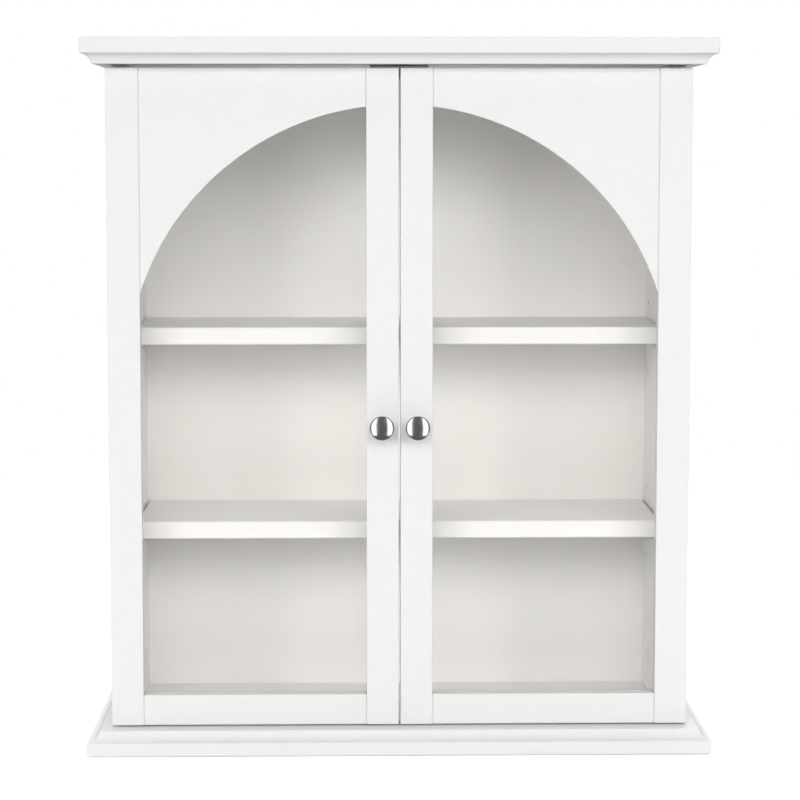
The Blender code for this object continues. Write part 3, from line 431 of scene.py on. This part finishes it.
def softening_tree():
    """Joins a node's split corners and shades it smooth across shallow edges only."""
    tree = bpy.data.node_groups.new("soft shading", "GeometryNodeTree")
    tree.interface.new_socket("Geometry", in_out="INPUT", socket_type="NodeSocketGeometry")
    tree.interface.new_socket("Geometry", in_out="OUTPUT", socket_type="NodeSocketGeometry")
    start = add_node(tree, "NodeGroupInput")
    joined = add_node(tree, "GeometryNodeMergeByDistance")
    joined.inputs["Distance"].default_value = 0.000001
    bare = add_node(tree, "GeometryNodeRemoveAttribute")
    bare.inputs["Name"].default_value = "custom_normal"
    smooth = add_node(tree, "GeometryNodeSetShadeSmooth", domain="FACE")
    angle = add_node(tree, "GeometryNodeInputMeshEdgeAngle")
    steep = add_node(tree, "FunctionNodeCompare", data_type="FLOAT", operation="GREATER_THAN")
    steep.inputs["B"].default_value = SMOOTH_UNDER
    crisp = add_node(tree, "GeometryNodeSetShadeSmooth", domain="EDGE")
    crisp.inputs["Shade Smooth"].default_value = False
    end = add_node(tree, "NodeGroupOutput")
    tree.links.new(start.outputs["Geometry"], joined.inputs["Geometry"])
    tree.links.new(joined.outputs["Geometry"], bare.inputs["Geometry"])
    tree.links.new(bare.outputs["Geometry"], smooth.inputs["Geometry"])
    tree.links.new(smooth.outputs["Geometry"], crisp.inputs["Geometry"])
    tree.links.new(angle.outputs["Unsigned Angle"], steep.inputs["A"])
    tree.links.new(steep.outputs["Result"], crisp.inputs["Selection"])
    tree.links.new(crisp.outputs["Geometry"], end.inputs["Geometry"])
    return tree


def soften(piece, tree):
    """Gives one CAD node its shading modifiers. The mesh itself isn't changed."""
    shading = piece.modifiers.new("soft shading", "NODES")
    shading.node_group = tree
    weighted = piece.modifiers.new("flat faces stay flat", "WEIGHTED_NORMAL")
    weighted.keep_sharp = True


def finish_nodes():
    """Every CAD node gets the finish of its slot in the record."""
    tree = softening_tree()
    slots = {part["node"]: part["material_slot"] for part in frame["record"]["subparts"]}
    for name, piece in NODES.items():
        piece.data.materials[0] = FINISHES[slots[name]]
        soften(piece, tree)


# New pieces


def add_piece(name, shape, finish, body, where=(0.0, 0.0, 0.0), turn=None):
    """Turns a bmesh into a piece that rides on a body."""
    mesh = bpy.data.meshes.new(name)
    bmesh.ops.recalc_face_normals(shape, faces=shape.faces)
    shape.to_mesh(mesh)
    shape.free()
    mesh.materials.append(finish)
    mesh.shade_smooth()
    mesh.set_sharp_from_angle(angle=SMOOTH_UNDER)
    piece = bpy.data.objects.new(name, mesh)
    bpy.context.scene.collection.objects.link(piece)
    piece.matrix_world = Matrix.Translation(where) @ (turn or Matrix.Identity(4))
    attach(piece, body)
    return piece


def arc(centre, radius, start, end, steps):
    """Points on a circle's arc, in degrees from the first axis."""
    points = []
    for step in range(steps + 1):
        angle = math.radians(start + (end - start) * step / steps)
        points.append((centre[0] + radius * math.cos(angle), centre[1] + radius * math.sin(angle)))
    return points


def turned(profile, turns):
    """A closed turned shape: the profile is in (radius, height), from the axis round to the axis."""
    shape = bmesh.new()
    rings = []
    for radius, height in profile:
        if radius == 0.0:
            rings.append([shape.verts.new((0.0, 0.0, height))] * turns)
            continue
        ring = []
        for turn in range(turns):
            angle = 2 * math.pi * turn / turns
            ring.append(shape.verts.new((radius * math.cos(angle), radius * math.sin(angle), height)))
        rings.append(ring)
    for upper, lower in zip(rings, rings[1:]):
        for turn in range(turns):
            following = (turn + 1) % turns
            corners = [upper[turn], upper[following], lower[following], lower[turn]]
            shape.faces.new(list(dict.fromkeys(corners)))
    return shape


def knob_profile(projection, radius):
    """A mushroom knob: a shallow cap, a rounded rim, a cupped back, a waisted neck and a flared foot."""
    rim_radius = radius - KNOB_RIM_ROUND
    to_rim = KNOB_CAP_RADIUS - KNOB_RIM_ROUND
    rim_angle = math.degrees(math.acos(rim_radius / to_rim))
    rim_height = projection - KNOB_CAP_RADIUS + math.sqrt(to_rim**2 - rim_radius**2)
    cap = arc((0.0, projection - KNOB_CAP_RADIUS), KNOB_CAP_RADIUS, 90, rim_angle, 18)
    cap[0] = (0.0, projection)
    rim = arc((rim_radius, rim_height), KNOB_RIM_ROUND, rim_angle, -70, 16)
    back_radius, back_height = rim[-1]
    neck_height = projection - KNOB_HEAD_DEPTH
    cup = []
    for step in range(1, 13):
        share = step / 12
        sweep = math.sin(share * math.pi / 2)
        fall = 1 - math.cos(share * math.pi / 2)
        cup.append((
            back_radius + (KNOB_NECK_RADIUS - back_radius) * sweep,
            back_height + (neck_height - back_height) * fall,
        ))
    flare = KNOB_FOOT_RADIUS - KNOB_NECK_RADIUS
    base = arc((KNOB_NECK_RADIUS + flare, KNOB_FOOT_HEIGHT + flare), flare, 180, 270, 8)
    edge = arc((KNOB_FOOT_RADIUS, KNOB_FOOT_HEIGHT / 2), KNOB_FOOT_HEIGHT / 2, 90, -90, 6)
    return cap + rim[1:] + cup + base + edge[1:] + [(0.0, 0.0)]


def add_knobs():
    """The finely turned knobs, each in the box of the CAD knob that it replaces."""
    for side in SIDES:
        low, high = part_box(side + "_knob")
        where = ((low.x + high.x) / 2, high.y, (low.z + high.z) / 2)
        shape = turned(knob_profile(high.y - low.y, (high.x - low.x) / 2), KNOB_TURNS)
        facing_out = Matrix.Rotation(math.radians(90), 4, "X")
        name, finish = side + "_turned_knob", "satin_nickel"
        knob = add_piece(name, shape, FINISHES[finish], DOORS[side], where, facing_out)
        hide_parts(side + "_knob")


def screw_shape(head_radius, shank_radius, length, dome):
    """A countersunk screw standing on its point: its head's rim is at height 0, with a cross recess."""
    profile = [(0.0, dome)]
    for step in range(1, SCREW_DOME_STEPS):
        share = step / SCREW_DOME_STEPS
        profile.append((head_radius * share, dome * math.cos(math.radians(90 * share)) ** 0.5))
    profile += [
        (head_radius, 0.0),
        (head_radius * SCREW_RIM_SHARE, -SCREW_RIM),
        (shank_radius, -(head_radius - shank_radius) - SCREW_RIM),
        (shank_radius, -length + 2 * shank_radius),
        (0.0, -length),
    ]
    shape = turned(profile, SCREW_TURNS)
    reach = head_radius * RECESS_REACH_SHARE
    slot = head_radius * RECESS_SLOT_SHARE
    depth = head_radius * RECESS_DEPTH_SHARE
    for vertex in shape.verts:
        x, y = abs(vertex.co.x), abs(vertex.co.y)
        inside = (x < reach and y < slot) or (y < reach and x < slot)
        if vertex.co.z > 0.0 and inside:
            vertex.co.z -= depth
    return shape


def add_screw(name, where, out, head_radius, body, finish="zinc_steel", proud=HEAD_PROUD):
    """A screw whose head faces out, a little proud of the face at where."""
    turn = Vector(out).to_track_quat("Z", "Y").to_matrix().to_4x4()
    shape = screw_shape(head_radius, head_radius * SCREW_SHANK_SHARE, SCREW_LENGTH, proud)
    return add_piece(name, shape, FINISHES[finish], body, where, turn)


def hinge_measures():
    """The screws' distance from the middle plane and the leaves' open faces, from a leaf's own box."""
    low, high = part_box("right_upper_hinge_door_leaf")
    knuckle = (high.y - low.y) / 2
    axis_x = high.x - knuckle
    axis_y = (low.y + high.y) / 2
    faces = {"door_leaf": axis_y - HINGE_LEAF_GAP / 2, "carcass_leaf": axis_y + HINGE_LEAF_GAP / 2}
    return (low.x + axis_x - knuckle - HINGE_LEAF_GAP) / 2, faces


def add_hinge_screws():
    """Two screws through each hinge leaf, into the door or into the side panel."""
    screw_x, leaf_faces = hinge_measures()
    for side, sign in SIDES.items():
        for level in ("lower", "upper"):
            for leaf, body, out in (("door_leaf", DOORS[side], 1), ("carcass_leaf", "cabinet", -1)):
                low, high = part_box(f"{side}_{level}_hinge_{leaf}")
                middle_z = (low.z + high.z) / 2
                for number, offset in enumerate((-HINGE_SCREW_OFFSET, HINGE_SCREW_OFFSET)):
                    where = (sign * screw_x, leaf_faces[leaf], middle_z + offset)
                    name = f"{side}_{level}_{leaf}_screw_{number}"
                    add_screw(name, where, (0, out, 0), HINGE_SCREW_HEAD, body, "hinge_steel")


def eased_box(corner, opposite, round_edge):
    """A box between two opposite corners, with every edge rounded."""
    shape = bmesh.new()
    bmesh.ops.create_cube(shape, size=1.0)
    corner, opposite = Vector(corner), Vector(opposite)
    middle = (corner + opposite) / 2
    for vertex in shape.verts:
        vertex.co = Vector(a * abs(b) for a, b in zip(vertex.co, opposite - corner)) + middle
    edges = shape.edges[:]
    bmesh.ops.bevel(shape, geom=edges, offset=round_edge, segments=2, affect="EDGES", profile=0.5)
    return shape


def add_catch_pieces():
    """Two magnets with steel pole plates, and the two screws that hold the catch."""
    low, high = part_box("magnetic_catch")
    middle_z = (low.z + high.z) / 2
    back_y = low.y + MAGNET_BACK
    for side, sign in SIDES.items():
        near_x = sign * MAGNET_FROM_MIDDLE - MAGNET_HALF_WIDTH
        far_x = sign * MAGNET_FROM_MIDDLE + MAGNET_HALF_WIDTH
        magnet = eased_box(
            (near_x, low.y + MAGNET_FRONT, middle_z - MAGNET_HALF_HEIGHT),
            (far_x, back_y, middle_z + MAGNET_HALF_HEIGHT),
            MAGNET_ARRIS,
        )
        add_piece(side + "_catch_magnet", magnet, MAGNET_FINISH, "cabinet")
        for place, way in (("lower", -1), ("upper", 1)):
            pole = eased_box(
                (near_x, low.y + POLE_FRONT, middle_z + way * POLE_INNER_Z),
                (far_x, back_y, middle_z + way * POLE_OUTER_Z),
                MAGNET_ARRIS,
            )
            name = f"{side}_catch_{place}_pole"
            add_piece(name, pole, FINISHES["zinc_steel"], "cabinet")
        screw_y = (low.y + high.y) / 2 + CATCH_SCREW_BEHIND_MIDDLE
        where = (sign * CATCH_SCREW_FROM_MIDDLE, screw_y, low.z)
        name = side + "_catch_screw"
        add_screw(name, where, (0, 0, -1), CATCH_SCREW_HEAD, "cabinet", proud=CATCH_SCREW_PROUD)


def add_strike_screws():
    """The screw that holds each strike plate to its door."""
    for side in SIDES:
        low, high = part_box(side + "_strike_plate")
        where = ((low.x + high.x) / 2, high.y, low.z + STRIKE_SCREW_ABOVE_LOW_END)
        add_screw(side + "_strike_screw", where, (0, 1, 0), STRIKE_SCREW_HEAD, DOORS[side])


def add_hanger_screws():
    """Two screws in each keyhole plate."""
    for side in SIDES:
        low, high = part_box(side + "_hanger_plate")
        middle_x, middle_z = (low.x + high.x) / 2, (low.z + high.z) / 2
        for number, offset in enumerate((-PLATE_SCREW_FROM_MIDDLE, PLATE_SCREW_FROM_MIDDLE)):
            where = (middle_x + offset, high.y - PLATE_SCREW_SUNK, middle_z)
            add_screw(f"{side}_hanger_screw_{number}", where, (0, 1, 0), PLATE_SCREW_HEAD, "cabinet")


def add_cam_caps():
    """Plastic caps over the cam fittings, inside the side panels near their ends."""
    rounding = (CAM_CAP_RADIUS - CAM_CAP_EDGE, CAM_CAP_THICKNESS - CAM_CAP_EDGE)
    profile = [(0.0, CAM_CAP_THICKNESS * 0.8), *arc(rounding, CAM_CAP_EDGE, 90, 0, 4)]
    profile += [(CAM_CAP_RADIUS, 0.0), (0.0, 0.0)]
    finish = "catch_plastic"
    for side, sign in SIDES.items():
        low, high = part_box(side + "_side_panel")
        face_x = (low.x if sign > 0 else high.x) - sign * CAM_CAP_SUNK
        inwards = Vector((-sign, 0, 0)).to_track_quat("Z", "Y").to_matrix().to_4x4()
        for end, z in (("lower", low.z + CAM_FROM_END), ("upper", high.z - CAM_FROM_END)):
            for row, y in (("front", low.y + CAM_FROM_FRONT), ("back", high.y - CAM_FROM_BACK)):
                name = f"{side}_{end}_cam_cap_{row}"
                cap = turned(profile, 40)
                add_piece(name, cap, FINISHES[finish], "cabinet", (face_x, y, z), inwards)


def joint_ends(node, edge_x, face_y):
    """The lowest and highest point of a rail's front where it meets a stile's edge."""
    points = [vertex.co for vertex in NODES[node].data.vertices]
    heights = [
        point.z
        for point in points
        if abs(point.x - edge_x) < JOINT_SEARCH and point.y < face_y + JOINT_SEARCH
    ]
    return min(heights), max(heights)


def add_joint_paint():
    """Paint that bridges the hairline joints between the doors' stiles and rails."""
    for side, sign in SIDES.items():
        for stile, way, pick in (("hinge_stile", -sign, min), ("lock_stile", sign, max)):
            low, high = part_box(f"{side}_{stile}")
            edge_x = pick(low.x, high.x, key=abs)
            for rail in ("arch_rail", "bottom_rail"):
                face_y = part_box(f"{side}_{rail}")[0].y
                bottom, top = joint_ends(f"{side}_{rail}", edge_x + way * JOINT_WIDTH, face_y)
                strip = eased_box(
                    (edge_x, face_y + JOINT_PAINT_DEPTH, bottom + JOINT_PAINT_DEPTH),
                    (edge_x + way * JOINT_WIDTH, face_y + JOINT_PAINT_BACK, top - JOINT_PAINT_DEPTH),
                    JOINT_WIDTH / 8,
                )
                name = f"{side}_{stile}_{rail}_joint_paint"
                add_piece(name, strip, FINISHES["paint"], DOORS[side])


# Stage, lights and camera


def add_floor():
    """A plain pale floor that fades out into the backdrop."""
    shape = bmesh.new()
    bmesh.ops.create_grid(shape, x_segments=8, y_segments=8, size=FLOOR_HALF_SIZE)
    mesh = bpy.data.meshes.new("floor")
    shape.to_mesh(mesh)
    shape.free()
    floor = bpy.data.objects.new("floor", mesh)
    floor.location = (0.0, 0.0, CAD_BOX[0].z - FLOOR_DROP)
    bpy.context.scene.collection.objects.link(floor)
    material, tree, shader = new_material("floor finish")
    place = place_in_piece(tree)
    mottle = noise(tree, place, 14.0, 5.0, 0.6)
    grain = noise(tree, place, 300.0, 3.0)
    cloudy = between(tree, mottle, 0.0, 1.0)
    tone = blend_colours(tree, cloudy, (0.90, 0.90, 0.895), (0.885, 0.885, 0.88))
    tree.links.new(tone, shader.inputs["Base Color"])
    feed(tree, shader.inputs["Roughness"], between(tree, mottle, 0.7, 0.85))
    feed(tree, shader.inputs["Normal"], bump(tree, grain, 0.0001))
    shader.inputs["Specular IOR Level"].default_value = 0.1
    shader.inputs["Emission Color"].default_value = (1.0, 1.0, 1.0, 1.0)
    seen = add_node(tree, "ShaderNodeLightPath").outputs["Is Camera Ray"]
    tree.links.new(calculate(tree, "MULTIPLY", seen, FLOOR_GLOW), shader.inputs["Emission Strength"])
    distance = add_node(tree, "ShaderNodeVectorMath", operation="LENGTH")
    tree.links.new(place, distance.inputs[0])
    fade = between(tree, distance.outputs["Value"], 0.0, 1.0, FLOOR_FADE_START, FLOOR_FADE_END)
    clear = add_node(tree, "ShaderNodeBsdfTransparent")
    mix = add_node(tree, "ShaderNodeMixShader")
    tree.links.new(fade, mix.inputs["Fac"])
    tree.links.new(shader.outputs["BSDF"], mix.inputs[1])
    tree.links.new(clear.outputs["BSDF"], mix.inputs[2])
    tree.links.new(mix.outputs["Shader"], tree.nodes["Material Output"].inputs["Surface"])
    mesh.materials.append(material)
    floor.visible_glossy = False


def add_world():
    """A white backdrop that lights the cabinet softly from all round and shows dark in the metal."""
    world = bpy.data.worlds.new("studio")
    bpy.context.scene.world = world
    world.use_nodes = True
    world.cycles.sampling_method = "NONE"
    tree = world.node_tree
    backdrop = tree.nodes["Background"]
    path = add_node(tree, "ShaderNodeLightPath")
    bounced = calculate(tree, "ADD", path.outputs["Diffuse Depth"], path.outputs["Glossy Depth"])
    unseen = calculate(tree, "GREATER_THAN", bounced, 0.5)
    lit = calculate(tree, "MULTIPLY", unseen, BACKDROP_SEEN - FILL_LIGHT)
    dimmed = calculate(tree, "MULTIPLY", path.outputs["Is Glossy Ray"], FILL_LIGHT - BACKDROP_IN_METAL)
    strength = calculate(tree, "SUBTRACT", calculate(tree, "SUBTRACT", BACKDROP_SEEN, lit), dimmed)
    backdrop.inputs["Color"].default_value = (1.0, 1.0, 1.0, 1.0)
    tree.links.new(strength, backdrop.inputs["Strength"])


def add_softbox(name, azimuth, elevation, distance, width, height, watts):
    """An upright soft light round the cabinet: azimuth 0 is in front, and + is to the right."""
    lamp = bpy.data.lights.new(name, "AREA")
    lamp.shape = "RECTANGLE"
    lamp.size = width
    lamp.size_y = height
    lamp.energy = watts
    light = bpy.data.objects.new(name, lamp)
    turn, rise = math.radians(azimuth), math.radians(elevation)
    way = Vector((math.sin(turn) * math.cos(rise), -math.cos(turn) * math.cos(rise), math.sin(rise)))
    light.location = AIM + way * distance
    light.rotation_euler = way.to_track_quat("Z", "Y").to_euler()
    bpy.context.scene.collection.objects.link(light)
    return light


def unlit_by_cards():
    """The moulded boards, whose broad flat tops would mirror the cards as white patches."""
    boards = bpy.data.collections.new("boards without card glare")
    for name in ("top_board", "base_board"):
        boards.objects.link(NODES[name])
    for member in boards.collection_objects:
        member.light_linking.link_state = "EXCLUDE"
    return boards


def add_lights():
    """Broad lamps in front, softer ones at the sides, behind and above, and two cards for the metal."""
    front = {"azimuth": 0, "distance": 3.0, "width": 2.2, "height": 1.0}
    beside = {"distance": 2.8, "width": 1.3, "height": 1.5}
    lamps = [
        add_softbox("front_lamp", elevation=12, watts=17.0, **front),
        add_softbox("high_front_lamp", elevation=25, watts=27.0, **front),
        add_softbox("overhead_lamp", 0, 74, distance=2.4, width=1.8, height=1.2, watts=11.0),
        add_softbox("top_lamp", 180, 68, distance=2.6, width=1.8, height=1.4, watts=26.0),
    ]
    boards = unlit_by_cards()
    for side, sign in SIDES.items():
        key = add_softbox(side + "_key", sign * 35, 13, distance=3.0, width=1.0, height=1.1, watts=23.0)
        lamps += [
            key,
            add_softbox(side + "_side_lamp", sign * 100, 14, watts=22.0, **beside),
            add_softbox(side + "_back_lamp", sign * 155, 18, watts=18.0, **beside),
        ]
        card = add_softbox(
            side + "_card", sign * 31, 4, distance=2.3, width=0.75, height=3.4, watts=20.0
        )
        card.visible_diffuse = False
        card.visible_transmission = False
        card.light_linking.receiver_collection = boards
    for lamp in lamps:
        lamp.visible_glossy = "_back_" in lamp.name
        lamp.visible_transmission = False


def add_camera():
    """The camera at the photo's viewing angle, a little above the middle and aimed slightly down."""
    lens = bpy.data.cameras.new("camera")
    lens.lens = CAMERA_LENS
    lens.sensor_width = 36.0
    lens.shift_y = CAMERA_SHIFT_UP
    lens.clip_end = 50.0
    camera = bpy.data.objects.new("camera", lens)
    camera.location = CAMERA_PLACE
    camera.rotation_euler = (math.radians(90) - CAMERA_DOWN, 0.0, -CAMERA_YAW)
    bpy.context.scene.collection.objects.link(camera)
    bpy.context.scene.camera = camera


finish_nodes()
add_knobs()
add_hinge_screws()
add_catch_pieces()
add_strike_screws()
add_hanger_screws()
add_cam_caps()
add_joint_paint()
add_floor()
add_world()
add_lights()
add_camera()
bpy.context.scene.view_settings.view_transform = "Standard"
